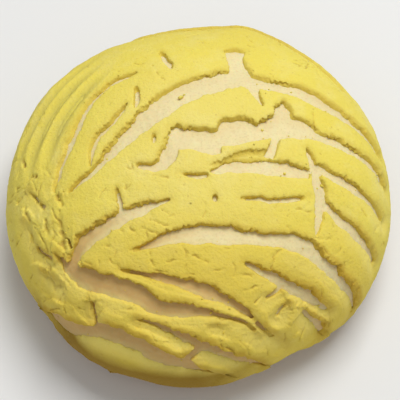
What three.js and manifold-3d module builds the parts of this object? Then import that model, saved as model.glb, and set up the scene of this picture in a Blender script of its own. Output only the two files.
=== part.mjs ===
// Concha: a round sweet bun under a sheet of yellow sugar paste that is scored in curved bands like a shell.
// Millimetres, +Z up. The bun rests on z = 0, and the side that is seen in the photograph faces -Y.
// The paste is made as it is in a bakery: rolled flat, scored, and then draped over the bun.

import * as THREE from "three";
import { mergeVertices } from "three/addons/utils/BufferGeometryUtils.js";
import Module from "manifold-3d";

const wasm = await Module();
wasm.setup();

// Sizes of the bun with its paste on
const WIDEST_RADIUS = 57.5;
const HEIGHT = 52;
const WIDEST_LEVEL = 17;
const BASE_RADIUS = 46;
const SECTION_POWER = 2.2;

// Sizes of the paste
const PASTE_AT_CROWN = 2.7;
const PASTE_AT_SIDE = 2.5;
const PASTE_CLEARANCE = 0.45;
const PASTE_REACH = 84.5;
const PASTE_LUMP = 9;
const OUTER_UNEVEN = 0.25;
const INNER_UNEVEN = 0.05;
const RIM_WAVE = 1.2;
const RIM_WAVES = 7;

// How a score is cut
const SCORE_STATION = 2.7;
const SCORE_THROUGH_OPENING = 1.6;
const SCORE_TIP_DEPTH = 0.7;
const SHALLOW_DEPTH = 1.5;
const RAGGED_EDGE = 0.35;
const RAGGED_SEED = 4107;
const DRAW_FACTOR = 16807;
const DRAW_MODULUS = 2147483647;
const CUT_MARGIN = 1;
const WEDGE_CORNERS = 4;

// Fineness of the facets
const PASTE_CELL = 6;
const RIM_SEGMENTS = 96;
const BUN_SEGMENTS = 60;
const BUN_RINGS = 17;
const SECTION_DIVISIONS = 900;

// Colours and finish
const BREAD_COLOUR = 0xeedea5;
const BREAD_ROUGHNESS = 0.8;
const PASTE_COLOUR = 0xe6d362;
const PASTE_ROUGHNESS = 0.88;

// Swells and flats of the side: [degrees round from +X, spread in degrees, rise]
const SWELLS = [
  [70, 15, 2.1],
  [76, 5, 0.8],
  [42, 17, 0.7],
  [146, 16, 0.9],
  [-122, 16, 1.1],
  [-143, 7, -0.9],
  [-60, 17, -3.1],
  [-38, 6, 0.6],
  [-20, 16, -0.6],
];
const SWELL_FROM = THREE.MathUtils.degToRad(18);
const SWELL_FULL = THREE.MathUtils.degToRad(60);

// Each score is a line of [across, away, opening] on the flat paste, measured from its middle, which lies on
// the crown: across runs to +X, away to +Y, and opening is how wide the score gapes at the outer face.
const SCORES = {
  // About the crown
  crownGapLeft: [[-8.3, 2.5, 7.6], [-4.1, 2.6, 7.4], [-1.1, 2.2, 6.6], [1.9, 1.3, 7.9], [6.2, 1.2, 8.2]],
  crownGapRight: [
    [5.2, 5.2, 8], [7.6, 4.4, 9.6], [9.8, 4.3, 8.4], [12.4, 5.3, 8.4], [14.9, 5.2, 6.6],
    [17.5, 5.2, 5], [22, 7.2, 7.6], [29.5, 8, 7.2], [35.5, 6.3, 2.6],
  ],
  crownGapHook: [[-17.5, -5.6, 0.8], [-13.5, -6.7, 2.6], [-9.6, -5.2, 3.8], [-7.9, -0.8, 4], [-7, 3.2, 3]],
  crownGapPeak: [[24.8, 17, 0.8], [24.6, 12.5, 5.4], [24.5, 7, 8]],
  crownGapTail: [[34, 6.1, 2.4], [41, 5.6, 2.8], [48, 4.4, 2.2], [57, 2.4, 1.4], [66, -1, 0.7]],
  secondGap: [
    [2.9, -8.2, 0.8], [5.9, -7.4, 2.4], [9, -6.8, 3.4], [14, -6.5, 3.8],
    [22, -6.3, 4.2], [27, -6.6, 3.6], [32, -6.8, 3],
  ],
  secondGapStrip: [
    [3.4, -6.9, 0.8], [7.9, -4.9, 1.4], [11.9, -3.7, 2.2], [15.9, -3.1, 3], [19.5, -2.6, 3.6],
  ],
  gapLink: [[22.1, 4.5, 2.4], [20.9, 0, 2.4], [19.6, -3, 2.8]],
  slitBelowStrip: [[-5.2, -8.8, 0.7], [-1.5, -9.8, 1.4], [2.6, -9.3, 0.8]],
  spine: [[31, 1, 0.8], [33, -4, 2.6], [35.2, -14, 3.8], [34.8, -20.5, 2.6], [34, -25, 0.7]],
  spineUpperBranch: [[33.6, -4, 2.2], [39, -6.4, 3], [45, -7.6, 2.8], [53, -9.8, 2], [64, -14, 0.8]],
  spineLowerBranch: [[35.5, -15, 2.6], [41, -18.4, 3], [47, -21, 3], [53, -23.5, 2.2], [63, -28, 1.2]],
  slitBesideSpine: [
    [11.5, -16.4, 0.7], [15.4, -15.8, 1.1], [17.8, -16, 1.1], [19.9, -16.7, 1.3],
    [23.5, -15.6, 1.2], [25.5, -15.9, 1.2], [28.2, -14.9, 1.1], [33, -13.9, 0.7],
  ],

  // Behind the crown
  farStub: [[10.4, 36.4, 7], [10.6, 31.5, 4.6], [12.4, 25.5, 6], [16, 20.6, 3], [18.4, 14, 0.7]],
  farBandLeft: [
    [12.5, 24.4, 5.6], [5, 22.4, 7], [-5, 17.8, 7.2], [-13, 11.2, 6.8],
    [-20.5, 3.8, 4.8], [-27, -3.2, 2.6], [-34, -9, 1.9], [-38, -11.6, 0.8],
  ],
  farBandRight: [
    [14, 24, 3.4], [21, 22.6, 4.4], [29, 21.8, 5], [35, 20.3, 5],
    [44, 17.4, 3], [54, 14.6, 1.6], [63, 11.4, 0.7],
  ],
  farSlit: [[-12, 37, 0.8], [-10, 33, 1.8], [-8.2, 28, 0.6]],
  leftArc: [
    [-18.5, 27.8, 0.8], [-25, 25, 1.9], [-31.5, 18.3, 2.1],
    [-37, 7, 2.2], [-40.4, -2, 2], [-43, -10.5, 0.9],
  ],
  leftCrack: [[-20.8, 15.4, 0.7], [-24.4, 9.6, 1.8], [-29.6, 4.6, 2], [-31.2, -4.8, 0.9]],
  leftCrackSpur: [[-18.8, 21.8, 0.6], [-18, 18, 1.4], [-18.3, 13.6, 1.3]],
  backArcHigh: [[-25, 55, 0.8], [-4, 57, 2.6], [17, 55.5, 3], [36, 47, 2.4], [49, 35, 0.9]],
  backArcMiddle: [
    [-55, 42, 0.8], [-39, 56, 2.8], [-15, 66, 3.4],
    [10, 68, 3.2], [36, 59, 2.4], [54, 41, 0.8],
  ],
  backArcLow: [[-40, 69, 0.9], [-16, 77, 2.6], [10, 78.5, 2.6], [38, 70, 0.9]],
  backArcLink: [[-16, 66, 2], [-19, 71, 1.8], [-20, 76, 2]],

  // In front of the crown
  frontLeft: [
    [-38.6, -34.5, 2.6], [-35.5, -29, 4.2], [-30, -25.2, 4.9],
    [-22, -21.4, 4], [-15, -18.8, 2.8], [-8, -16.6, 1.3],
  ],
  frontLeftSpur: [[-23.4, -12.6, 0.8], [-22.9, -15.8, 1.3], [-21.8, -19.5, 1.8]],
  frontLongArc: [
    [-18, -30.4, 0.6], [-5, -27.2, 3.8], [8, -27.3, 5], [19, -28.4, 3.6],
    [30, -28.8, 4.8], [37, -32.8, 3.8], [46, -37.4, 2.8], [60, -46, 1.6],
  ],
  frontRight: [[13, -35.2, 0.6], [24.8, -40.8, 3.2], [35, -44.6, 3.8], [45.5, -48.2, 0.6]],
  frontRightSpur: [[20.6, -46.4, 0.7], [23, -45, 1.4], [26, -43, 1.4]],
  frontMiddle: [
    [-21.6, -35.4, 0.7], [-12, -38.1, 1.9], [-4, -40.5, 2.6], [4, -43.7, 3.8],
    [8, -45.4, 2.8], [12.3, -48, 1.8], [16.7, -51.6, 1.4], [22.4, -56.6, 1],
    [31, -62, 0.7],
  ],
  frontBroad: [
    [-43.4, -30, 1], [-38.5, -35.2, 4.8], [-29.5, -38.5, 5.4], [-19.6, -41.6, 5.4],
    [-12, -46.9, 4.2], [-4, -48, 3.6], [2, -48.7, 2.2], [7, -50, 1.1],
    [13.4, -52.2, 1], [21.2, -58.4, 0.7],
  ],
  lowMiddle: [
    [-17.7, -49.8, 0.8], [-10, -53.1, 1.9], [-5, -55.8, 2.4], [0, -58.7, 3.2],
    [10, -63.1, 2.9], [20, -68.6, 2.6], [27, -72.9, 0.9],
  ],
  lowLink: [[0.7, -60, 2.2], [-2.5, -62.2, 2.4], [-5, -64.8, 2.6]],
  lowLeft: [
    [-62, -47, 2.8], [-48, -51.4, 7.4], [-36.8, -53, 4.8], [-27.1, -53.8, 6],
    [-19.6, -58, 6], [-11.9, -63.3, 6.2], [-5, -65.9, 5.4], [3, -69.6, 1.6], [9, -72.3, 0.8],
  ],
  lowLeftSpur: [[-31.5, -42.8, 0.8], [-31, -52, 2.4]],
  lowRight: [[34.4, -49, 0.8], [37, -51, 2], [42, -53.2, 2.4], [49, -57.6, 3]],

  // Short cracks
  leftCrevice: [[-54.5, -17, 0.6], [-52.6, -24, 1], [-46, -30.4, 1.2]],
  leftCreviceLow: [[-50.4, -34.2, 0.6], [-43, -39, 0.8]],
  leftCreviceHigh: [[-52.4, -7.6, 1], [-46.8, -14.4, 1.2]],
  leftCreviceInner: [[-42, -19.5, 0.6], [-38, -28.4, 1]],
  rightCrevice: [[24.8, -52.6, 0.9], [26, -50.2, 1.2], [28.6, -47.4, 0.6]],
  frontPit: [[4.2, -52, 0.8], [8.2, -53.4, 1.2]],
  crownPit: [[-12.9, 4, 0.9], [-12.7, 1.2, 1.2]],
  middlePit: [[4.5, -15.2, 1], [4.6, -17.4, 1.1]],
};
// Scores that stop inside the paste
const SHALLOW_SCORES = ["secondGapStrip"];

// Half of a section through the crown, from the crown (t = 0) over the widest level to the base (t = 1).
class Section extends THREE.Curve {
  constructor(widest, height, base) {
    super();
    this.widest = widest;
    this.height = height;
    this.base = base;
    this.arcLengthDivisions = SECTION_DIVISIONS;
  }

  getPoint(t, target = new THREE.Vector2()) {
    const outward = Math.abs(Math.sin(t * Math.PI)) ** (2 / SECTION_POWER);
    const upward = Math.abs(Math.cos(t * Math.PI)) ** (2 / SECTION_POWER);
    if (t < 0.5) {
      const rise = this.height - WIDEST_LEVEL;
      return target.set(this.widest * outward, WIDEST_LEVEL + rise * upward);
    }
    const overhang = this.widest - this.base;
    return target.set(this.base + overhang * outward, WIDEST_LEVEL * (1 - upward));
  }
}

const outerSection = new Section(WIDEST_RADIUS, HEIGHT, BASE_RADIUS);
const bunSection = new Section(
  WIDEST_RADIUS - PASTE_AT_SIDE,
  HEIGHT - PASTE_AT_CROWN,
  BASE_RADIUS - PASTE_AT_SIDE,
);
const innerSection = new Section(
  bunSection.widest + PASTE_CLEARANCE,
  bunSection.height + PASTE_CLEARANCE,
  bunSection.base + PASTE_CLEARANCE,
);

// How far the side stands out at a turn from +X, for a place at t on the section.
function swell(turn, t) {
  const share = THREE.MathUtils.smoothstep(t * Math.PI, SWELL_FROM, SWELL_FULL);
  let total = 0;
  for (const [middle, spread, rise] of SWELLS) {
    const past = THREE.MathUtils.radToDeg(turn) - middle;
    const apart = THREE.MathUtils.euclideanModulo(past + 180, 360) - 180;
    total += rise * Math.exp(-((apart / spread) ** 2));
  }
  return total * share;
}

function onSection(section, t, turn) {
  const point = section.getPoint(t);
  const reach = point.x + swell(turn, t);
  return new THREE.Vector3(reach * Math.cos(turn), reach * Math.sin(turn), point.y);
}

function solidFrom(geometry) {
  geometry.deleteAttribute("normal");
  geometry.deleteAttribute("uv");
  const merged = mergeVertices(geometry);
  const mesh = new wasm.Mesh({
    numProp: 3,
    vertProperties: new Float32Array(merged.attributes.position.array),
    triVerts: new Uint32Array(merged.index.array),
  });
  return new wasm.Manifold(mesh);
}

function geometryFrom(solid) {
  const mesh = solid.getMesh();
  const geometry = new THREE.BufferGeometry();
  geometry.setAttribute("position", new THREE.BufferAttribute(mesh.vertProperties, 3));
  geometry.setIndex(new THREE.BufferAttribute(mesh.triVerts, 1));
  return geometry;
}

// The dough, turned from its section and then swelled.
function bunGeometry() {
  const turns = [1];
  const profile = [new THREE.Vector2(0, 0)];
  for (let ring = BUN_RINGS; ring >= 0; ring -= 1) {
    const t = bunSection.getUtoTmapping(ring / BUN_RINGS);
    turns.push(t);
    profile.push(bunSection.getPoint(t));
  }
  const geometry = new THREE.LatheGeometry(profile, BUN_SEGMENTS);
  geometry.rotateX(Math.PI / 2);
  const position = geometry.attributes.position;
  for (let i = 0; i < position.count; i += 1) {
    const x = position.getX(i);
    const y = position.getY(i);
    const reach = Math.hypot(x, y);
    const rise = swell(Math.atan2(y, x), turns[i % turns.length]);
    const longer = reach > 0 ? 1 + rise / reach : 1;
    position.setXY(i, x * longer, y * longer);
  }
  return geometryFrom(solidFrom(geometry));
}

// The paste rolled flat, a little uneven, with a wavy rim. Its inner face lies about 0.
function flatPaste() {
  const across = 2 * (PASTE_REACH + PASTE_CELL);
  const cells = Math.round(across / PASTE_CELL);
  const slab = new THREE.BoxGeometry(across, across, PASTE_AT_CROWN, cells, cells, 1);
  slab.translate(0, 0, PASTE_AT_CROWN / 2);
  const position = slab.attributes.position;
  for (let i = 0; i < position.count; i += 1) {
    const waveAcross = Math.sin(position.getX(i) / PASTE_LUMP);
    const waveAway = Math.cos((position.getY(i) - position.getX(i) / 2) / PASTE_LUMP);
    const uneven = position.getZ(i) > 0 ? OUTER_UNEVEN : INNER_UNEVEN;
    position.setZ(i, position.getZ(i) + uneven * waveAcross * waveAway);
  }
  const rim = [];
  for (let i = 0; i < RIM_SEGMENTS; i += 1) {
    const turn = (i / RIM_SEGMENTS) * 2 * Math.PI;
    const reach = PASTE_REACH + RIM_WAVE * Math.sin(RIM_WAVES * turn);
    rim.push(new THREE.Vector2(reach * Math.cos(turn), reach * Math.sin(turn)));
  }
  const settings = { depth: PASTE_AT_CROWN + 2 * CUT_MARGIN, bevelEnabled: false };
  const cutter = new THREE.ExtrudeGeometry(new THREE.Shape(rim), settings);
  cutter.translate(0, 0, -CUT_MARGIN);
  return solidFrom(slab).intersect(solidFrom(cutter));
}

// A number from -1 to 1, in the same run each time.
let draw = RAGGED_SEED;
function chance() {
  draw = (draw * DRAW_FACTOR) % DRAW_MODULUS;
  return (2 * draw) / DRAW_MODULUS - 1;
}

// What one score takes out of the flat paste: a wedge along its line that runs out at its tips.
function scoreWedge([name, points]) {
  const line = new THREE.CatmullRomCurve3(points.map((point) => new THREE.Vector3(...point)));
  const steps = Math.max(2, Math.round(line.getLength() / SCORE_STATION));
  const deepest = SHALLOW_SCORES.includes(name) ? SHALLOW_DEPTH : PASTE_AT_CROWN + CUT_MARGIN;
  const corners = [];
  const faces = [];
  for (let i = 0; i <= steps; i += 1) {
    const middle = line.getPointAt(i / steps);
    const along = line.getTangentAt(i / steps);
    const side = new THREE.Vector2(-along.y, along.x).normalize();
    const share = Math.min(middle.z / SCORE_THROUGH_OPENING, 1);
    const depth = THREE.MathUtils.lerp(SCORE_TIP_DEPTH, deepest, share);
    const left = middle.z / 2 + RAGGED_EDGE * share * chance();
    const right = -middle.z / 2 + RAGGED_EDGE * share * chance();
    const top = PASTE_AT_CROWN + CUT_MARGIN;
    const bottom = PASTE_AT_CROWN - depth;
    for (const [aside, height] of [[left, top], [right, top], [right, bottom], [left, bottom]]) {
      corners.push(middle.x + side.x * aside, middle.y + side.y * aside, height);
    }
  }
  for (let i = 0; i < steps; i += 1) {
    for (let k = 0; k < WEDGE_CORNERS; k += 1) {
      const here = i * WEDGE_CORNERS + k;
      const beside = i * WEDGE_CORNERS + ((k + 1) % WEDGE_CORNERS);
      const ahead = here + WEDGE_CORNERS;
      const across = beside + WEDGE_CORNERS;
      faces.push(here, beside, across, here, across, ahead);
    }
  }
  const end = steps * WEDGE_CORNERS;
  faces.push(0, 3, 2, 0, 2, 1);
  faces.push(end, end + 1, end + 2, end, end + 2, end + 3);
  const geometry = new THREE.BufferGeometry();
  geometry.setAttribute("position", new THREE.Float32BufferAttribute(corners, 3));
  geometry.setIndex(faces);
  return solidFrom(geometry);
}

// Lays the flat paste over the bun: distance from its middle becomes distance down the section.
function drape(geometry) {
  const position = geometry.attributes.position;
  const arc = outerSection.getLength();
  for (let i = 0; i < position.count; i += 1) {
    const turn = Math.atan2(position.getY(i), position.getX(i));
    const t = outerSection.getUtoTmapping(Math.hypot(position.getX(i), position.getY(i)) / arc);
    const place = onSection(innerSection, t, turn);
    place.lerp(onSection(outerSection, t, turn), position.getZ(i) / PASTE_AT_CROWN);
    position.setXYZ(i, place.x, place.y, place.z);
  }
  return geometry;
}

const scored = flatPaste().subtract(wasm.Manifold.union(Object.entries(SCORES).map(scoreWedge)));
const pieces = [
  ["bun", bunGeometry(), BREAD_COLOUR, BREAD_ROUGHNESS],
  ["topping", drape(geometryFrom(scored)), PASTE_COLOUR, PASTE_ROUGHNESS],
];

const concha = new THREE.Group();
concha.name = "concha";
for (const [name, geometry, color, roughness] of pieces) {
  geometry.computeVertexNormals();
  const mesh = new THREE.Mesh(geometry, new THREE.MeshStandardMaterial({ color, roughness, metalness: 0 }));
  mesh.name = name;
  concha.add(mesh);
}

// The middle of the whole stands over the origin
const middle = new THREE.Box3().setFromObject(concha).getCenter(new THREE.Vector3());
concha.children.forEach((mesh) => mesh.geometry.translate(-middle.x, -middle.y, 0));

export default concha;
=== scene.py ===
"""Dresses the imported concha: a bun of pale dough, the scored sugar paste over it and the crumbs in its gaps."""

import math
import operator
import random

import bpy
from bpy.props import FloatProperty, FloatVectorProperty, IntProperty, PointerProperty
from mathutils import Euler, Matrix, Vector, noise
from mathutils.bvhtree import BVHTree
from mathutils.kdtree import KDTree


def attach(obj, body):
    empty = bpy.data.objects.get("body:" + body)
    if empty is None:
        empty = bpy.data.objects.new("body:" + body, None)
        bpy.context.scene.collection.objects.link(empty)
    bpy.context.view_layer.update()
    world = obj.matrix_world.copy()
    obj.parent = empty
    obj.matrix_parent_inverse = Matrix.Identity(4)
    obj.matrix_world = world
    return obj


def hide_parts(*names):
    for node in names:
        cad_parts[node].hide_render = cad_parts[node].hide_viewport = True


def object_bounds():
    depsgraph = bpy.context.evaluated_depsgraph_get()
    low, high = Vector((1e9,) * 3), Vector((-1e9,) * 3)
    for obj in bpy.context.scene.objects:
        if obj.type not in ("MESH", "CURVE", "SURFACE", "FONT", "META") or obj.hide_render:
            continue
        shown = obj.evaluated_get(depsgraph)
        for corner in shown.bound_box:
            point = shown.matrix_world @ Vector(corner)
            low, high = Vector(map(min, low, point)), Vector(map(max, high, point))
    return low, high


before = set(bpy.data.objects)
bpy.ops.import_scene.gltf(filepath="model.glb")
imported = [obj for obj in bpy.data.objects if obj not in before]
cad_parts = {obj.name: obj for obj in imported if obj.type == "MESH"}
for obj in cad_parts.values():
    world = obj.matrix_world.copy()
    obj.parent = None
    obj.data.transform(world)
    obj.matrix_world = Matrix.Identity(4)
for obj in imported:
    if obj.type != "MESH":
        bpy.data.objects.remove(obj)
CAD_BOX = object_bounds()

bl_info = {
    "name": "Concha Sweet Bread",
    "version": (1, 0, 0),
    "blender": (4, 5, 0),
    "location": "View3D > Sidebar > Concha",
    "description": "Models the dough, the scored paste and the crumbs of a concha over its packed solids",
    "category": "Object",
}

MM = 0.001
BODY = "root"
MERGE_DISTANCE = 0.01 * MM
MOST_TRIANGLES = 190000
COVER_REACH = 6 * MM
OPEN_RINGS = 4
DROP_HEIGHT = 8 * MM
TOP_OF_ALL = CAD_BOX[1][2] + 10 * MM
PASTE_FROM = 0.45 * MM
PASTE_THICKNESS = 2.55 * MM
SHARP_ANGLE = math.radians(50)
TORN_STEP = 0.6 * MM
NEAR_PLACES = 16
WIDEST_PLATE = 10 * MM
EDGE_BLUR = 1 * MM
INNER_LEFT = 0.08
COVERED_LEFT = 0.1
CLEAN_LIMIT = 0.5
SMOOTH_FACTOR = 0.5
QUAD_ANGLE = math.radians(40)
CRACK_SEED = 7
CRUMB_SEED = 11
CAMERA_CLIP = (10 * MM, 20)

# Levels over the floor between which the plates and the bread go from high to low
HIGH_LEVEL = 46 * MM
LOW_LEVEL = 30 * MM
LOW_BREAD_LEVEL = 32 * MM
# Places along the depth between which the front begins
FRONT_FROM = 8 * MM
FRONT_FULL = -12 * MM
# The way from the middle to the darkest part of the rim, along which painted shade is laid on the paste and the
# bread
FRONT_LEFT = (-0.35, -0.94, 0)
# Where the bread lies flush with the paste along the far sides of the gaps: on the right, and at the back
FLUSH_RIGHT = (20 * MM, 32 * MM)
FLUSH_BACK = (8 * MM, 18 * MM)

# How far the way into a plate points to the back where its edge begins to be, and is, the far side of a gap
FAR_SIDE = (-0.3, 0.7)
FAR_LIMIT = 0.5
# The next edge across: the least distance to it, how far aside it may lie, and how far it has to face back
ACROSS_LEAST = 0.3 * MM
ASIDE_MOST = 1.2 * MM
FACING_BACK = -0.3
# Distances past an edge where its plate is no longer, and is still, followed
OWN_SIDE = (-0.6 * MM, -0.2 * MM)
# What limits the lean of a torn wall: shares of the widths of its plate and its gap, and the least lean
PLATE_SHARE = 0.9
LEAN_SHARE = 0.5
GAP_SHARE = 0.8
GAP_MARGIN = 1.4 * MM
NARROW_LEAN = 0.4 * MM
# Share of the lean by which the foot of a wall in front comes out into the gap
FOOT_SHARE = 0.35
# Widths of a gap between which a crest comes up along its far side
CREST_GAPS = (2 * MM, 5 * MM)
# Crumbling of the torn walls: the least of it, what the front adds, and the noise over which stretches differ
LEAST_CRUMBLE = 0.25
FRONT_CRUMBLE = 0.35
PATCHES = (-0.3, 0.25)
# How bites change with height, the share of crumbs in them and how much less it is low down, and a calmer front
BITE_TILT = 0.4
HIGH_CRUMBS = 1.5
FEWER_CRUMBS = 0.7
FRONT_CALM = 0.2
# Where the far-side torn walls, which face away from the light, get their deeper colour with painted shade: reach
# in millimetres and share of the height, high up and what low places add
WALL_REACH = 1.4
WALL_REACH_LOW = 0.8
WALL_TOP = 0.7
WALL_TOP_LOW = 0.2
# Levels over the floor between which the painted highlight on the upper edges of the lower plates begins
PALE_HIGHLIGHT_LEVELS = (19 * MM, 23 * MM)

# Hairline cracks of the paste, seen from above: start, heading in degrees and length, in millimetres
HAIRLINES = (
    (-19.5, -7, -21, 12.5), (-19, -5, -61, 5), (-12, 26, -60, 4), (-19, 31, -18, 6.5), (0, 39.5, -27, 3.5),
    (14.5, 39, 0, 2.5), (-1.5, -32.5, -13, 4.5), (-16, -24.5, -37, 2.5), (-14, -25.5, -90, 3.5),
    (-10, -20, -31, 3), (-31.5, -32, -53, 2.5), (-27.5, -32, -90, 2), (-24, -32.5, -45, 4),
    (12.5, -40.5, 23, 4), (15.5, -43, 23, 4), (33, 13.5, -85, 5.5), (33, -25.5, 30, 4),
    (31, -26.5, 16, 3.5), (37.5, -28.5, 56, 3.5), (-41, -15.5, -63, 4.5), (-46.5, -18.5, -61, 10),
    (-43.5, -17.5, -60, 7), (-49.5, -15.5, -83, 8), (-45.5, -24.5, -51, 6.5), (-49, -2.5, -59, 6),
    (-45, -1, -41, 4.5), (28, -47, 50, 4), (5.5, -49.5, -27, 3.5), (11.5, -51.5, -27, 3.5),
)
# Deeper cracks on the left, in the same terms
CRACKS = (
    (-51, 4.4, -60, 2.5), (-48, -2.6, -50, 3), (-52, -8.6, -12, 2.5), (-49.7, -11.7, -82, 9.5),
    (-48.1, -21.1, -58, 11), (-39.8, -12.3, -72, 3.3), (-39, -16.8, -78, 10.3), (-43.1, -18, -76, 4),
    (-43.4, -31.8, -41, 5.3),
)
# Crumbs that lie loose on the bread, seen from above: place and half width, in millimetres
LOOSE_CRUMBS = ((-5, 16, 0.9), (23.6, -7.7, 0.6), (17.9, 5.7, 0.5), (33.8, -9.5, 0.6), (-4, 17.2, 0.4))
# Crumbs of length 1: their lumps, widths and heights, how high they lie, and where across a torn edge
CRUMB_LUMPS = (1.1, 1)
CRUMB_LUMP_HEIGHT = 1.1
CRUMB_WIDTHS = (0.7, 1)
CRUMB_HEIGHTS = (0.5, 0.8)
CRUMB_LIFT = 0.35
CRUMB_PLACES = (-0.7, 1)
# Strewn hairline cracks at the back, in front, along the front rim and on the left: how many, the bearings that
# they lie between, in degrees, and the limits of their distances from the middle and lengths, in millimetres
STREWN_CRACKS = (
    (26, 30, 150, 42, 54, 3, 8),
    (70, 205, 335, 22, 55, 1.5, 4.5),
    (45, 215, 345, 49, 57, 1.5, 4),
    (40, 150, 225, 48, 56.5, 2, 6),
)
HAIRLINE_STEP = 0.8
HAIRLINE_WANDER = 28
# Soft folds on the left: distances of both ends from the middle, in millimetres, and their bearings, in degrees
FOLDS = ((53, 49, 178, 126), (49, 44, 186, 128), (43.5, 39, 184, 131))
FOLD_STEPS = 24

# Stage: the point that the camera and the lights face, and the way to each light, its distance and its size
AIM = Vector((0.45, -0.5, 18.8)) * MM
KEY_LIGHT = (Vector((0.22, 0.29, 0.93)), 900 * MM, 500 * MM)
FRONT_LIGHT = (Vector((-0.15, -0.6, 0.79)), 900 * MM, 900 * MM)


def length(name, description, millimetres):
    """A size that a user may change, given in millimetres and kept in metres."""
    size = millimetres * MM
    return FloatProperty(name=name, description=description, default=size, precision=5, unit="LENGTH")


def portion(name, description, share):
    """A share that a user may change."""
    return FloatProperty(name=name, description=description, default=share, min=0, max=1)


def angle(name, description, degrees):
    """An angle that a user may change, given in degrees and kept in radians."""
    return FloatProperty(name=name, description=description, default=math.radians(degrees), subtype="ANGLE")


def power(name, description, watts):
    """The power of a light that a user may change."""
    return FloatProperty(name=name, description=description, default=watts, min=0, unit="POWER")


def repeats(name, description, count):
    """How often something is done, which a user may change."""
    return IntProperty(name=name, description=description, default=count, min=0)


def colour(name, description, red, green, blue):
    """A colour that a user may change, as linear light."""
    return FloatVectorProperty(
        name=name, description=description, default=(red, green, blue), size=3, min=0, max=1, subtype="COLOR"
    )


class PasteFinish(bpy.types.PropertyGroup):
    """Sizes and colours of the sugar paste."""

    grain: length("Grain", "Spacing of the mesh before it is thinned", 0.36)
    face_from: length("Face from", "Height over the dough where the outer face begins", 1.5)
    face_full: length("Face full", "Height over the dough of the outer face", 2.3)
    edge_reach: length("Edge reach", "How far the crumbling goes from a torn edge", 1.6)
    ragged_size: length("Ragged size", "Length of the bites along a torn edge", 2.0)
    ragged_height: length("Ragged height", "Depth of the bites along a torn edge", 1.1)
    crumble_size: length("Crumble size", "Width of the crumbs along a torn edge", 0.7)
    crumble_height: length("Crumble height", "How far the crumbs stand out along a torn edge", 0.7)
    patch_size: length("Patch size", "Length of the stretches where torn edges crumble", 9)
    lean_reach: length("Lean reach", "How far in from a torn edge its wall leans back", 5.5)
    lean_least: length("Least lean", "How far a wall on the near side of a gap leans back", 0.2)
    lean_high: length("High lean", "How far a wall on the far side of a gap leans back, near the crown", 0.7)
    lean_low: length("Low lean", "How far a wall on the far side of a gap leans back, low down", 2.9)
    slope_reach: length("Slope reach", "How far from a torn edge a plate curves down to it", 7)
    slope_share: portion("Slope", "Share of the paste lost to the curve", 0.1)
    slope_low: portion("Low slope", "Share lost along the upper edges of the lower plates", 0.75)
    # Reach of the painted highlight along the upper edges of the lower plates.
    pale_highlight_reach: length("Pale reach", "How far the pale upper edges of the lower plates reach", 4.5)
    crest_low: portion("Low crest", "Share by which the lower plates are thicker along their walls", 0.4)
    plate_from: length("Plate from", "Distance from a torn edge where the smooth plate begins", 0.6)
    plate_full: length("Plate full", "Distance from a torn edge where the plate is wholly smooth", 2.0)
    inner_from: length("Inner from", "Height over the dough below which the hidden inner face begins", 1.0)
    inner_full: length("Inner full", "Height over the dough of the hidden inner face", 0.8)
    plate_smoothing: repeats("Plate smoothing", "Smoothing steps of the plates", 60)
    smoothing: repeats("Smoothing", "Smoothing steps of the whole sheet", 2)
    lump_size: length("Lump size", "Width of the soft lumps of the plates", 8)
    lump_height: length("Lump height", "Height of the soft lumps of the plates", 0.5)
    grain_size: length("Grain size", "Width of the sandy grains of the plates", 1.3)
    grain_height: length("Grain height", "Height of the sandy grains of the plates", 0.16)
    chip_height: length("Chip height", "Height of the chips along a torn edge", 0.25)
    crust_size: length("Crust size", "Width of the grains of the sugar crust", 0.9)
    crust_height: length("Crust height", "Height of the grains of the sugar crust", 0.14)
    broken_size: length("Broken size", "Length of the stretches where a crack is open", 1.6)
    hairline_width: length("Hairline width", "Half the width of a hairline crack", 0.5)
    hairline_depth: length("Hairline depth", "Depth of a hairline crack", 0.75)
    crack_width: length("Crack width", "Half the width of a deeper crack", 1.0)
    crack_depth: length("Crack depth", "Depth of a deeper crack", 1.5)
    fold_width: length("Fold width", "Half the width of a soft fold", 3.4)
    fold_depth: length("Fold depth", "Depth of a soft fold", 1.8)
    face_colour: colour("Face", "Colour of the plates", 0.84, 0.71, 0.125)
    warm_colour: colour("Warm", "Colour of the warmer patches of the plates", 0.80, 0.63, 0.09)
    frost_colour: colour("Frost", "Colour of the sugary patches of the plates", 0.88, 0.78, 0.30)
    # Paler plates at the crown: partly a sugar bloom, partly a painted highlight where the light falls fullest.
    crown_bloom_and_highlight_colour: colour("Crown", "Colour of the plates at the crown", 0.87, 0.74, 0.30)
    grain_colour: colour("Grain", "Colour between the sandy grains", 0.62, 0.48, 0.06)
    # Painted shade: the plates low down in front are darker and more golden, where the light from behind falls
    # weakest.
    golden_front_shade_colour: colour("Golden", "Colour of the plates low down in front", 0.74, 0.55, 0.075)
    # Painted shade: the plates at the back are darker and browner.
    back_shade_colour: colour("Far", "Colour of the plates at the back", 0.66, 0.53, 0.10)
    # The far-side torn walls: the deeper yellow of the torn paste together with painted shade, as they face away
    # from the light; darker still low down in front.
    wall_tone_and_shade_colour: colour("Wall", "Colour of the torn walls", 0.68, 0.52, 0.085)
    low_wall_tone_and_shade_colour: colour("Low wall", "Colour of the torn walls low down in front", 0.60, 0.40, 0.045)
    # The upper edges of the lower plates, which face up to the light: partly a painted highlight, partly a paler,
    # less saturated crust.
    pale_highlight_colour: colour("Pale", "Colour of the upper edges of the lower plates", 0.93, 0.775, 0.20)
    # Painted shade in the hairline and deeper cracks; the same dark brown also colours random specks.
    crack_shade_and_speck_colour: colour("Crack", "Colour in the hairline cracks", 0.42, 0.25, 0.04)
    # Painted shade in the soft folds on the left.
    fold_shade_colour: colour("Fold", "Colour in the soft folds", 0.60, 0.51, 0.11)
    # Painted shade on the front-left rim, where the light from behind does not reach, and darker towards the
    # bottom all round.
    rim_shade_and_bottom_colour: colour("Rim", "Colour of the baked lower edge", 0.34, 0.205, 0.022)
    roughness: portion("Roughness", "Roughness of the paste", 0.88)


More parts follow.
